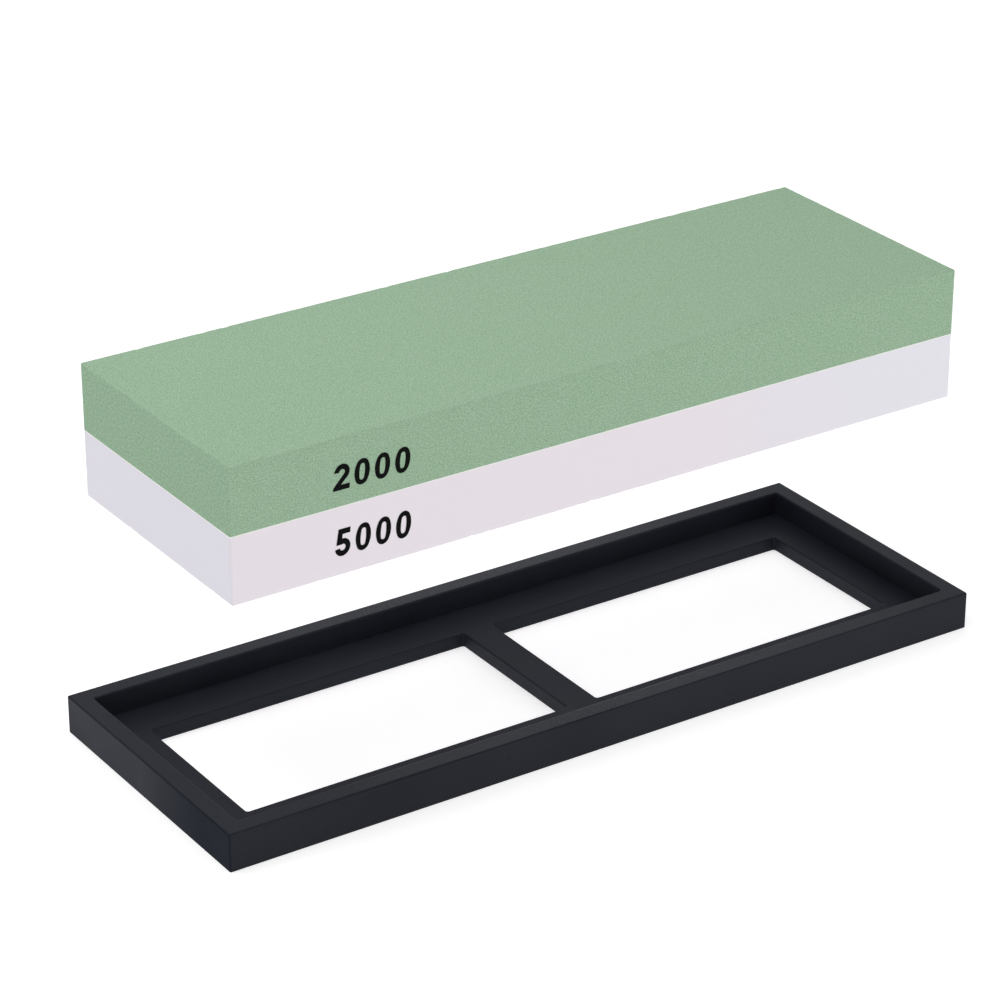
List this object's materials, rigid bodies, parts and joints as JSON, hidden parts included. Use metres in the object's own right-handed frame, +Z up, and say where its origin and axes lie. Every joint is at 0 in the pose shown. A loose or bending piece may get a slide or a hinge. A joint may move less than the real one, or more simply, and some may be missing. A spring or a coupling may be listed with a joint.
{
  "type": "sharpening whetstone",
  "caption": "Combination sharpening stone with a green coarse side and a white fine side, lifted off its low black holder with a stone-sized recess over open windows.",
  "frame": {"origin": "centre of the holder's underside, on the bench plane", "axes": "+Z up through the holder and the stone, +X along the stone's length, -Y towards the long side that carries the printed grit numbers"},
  "size_m": [0.19, 0.069, 0.0862],
  "materials": {
    "coarse_abrasive": "matte",
    "fine_abrasive": "matte",
    "bond_resin": "satin",
    "black_ink": "satin",
    "black_silicone": "satin"
  },
  "bodies": {
    "holder": {"holder": "black_silicone"},
    "stone": {"coarse_grit_layer": "coarse_abrasive", "fine_grit_layer": "fine_abrasive", "bond_line": "bond_resin", "coarse_grit_mark": "black_ink", "fine_grit_mark": "black_ink"}
  },
  "joints": [
    {"name": "stone_lift", "type": "slide", "parent": "holder", "child": "stone", "axis": [0, 0, 1], "range_m": [-0.053, 0.03]}
  ]
}
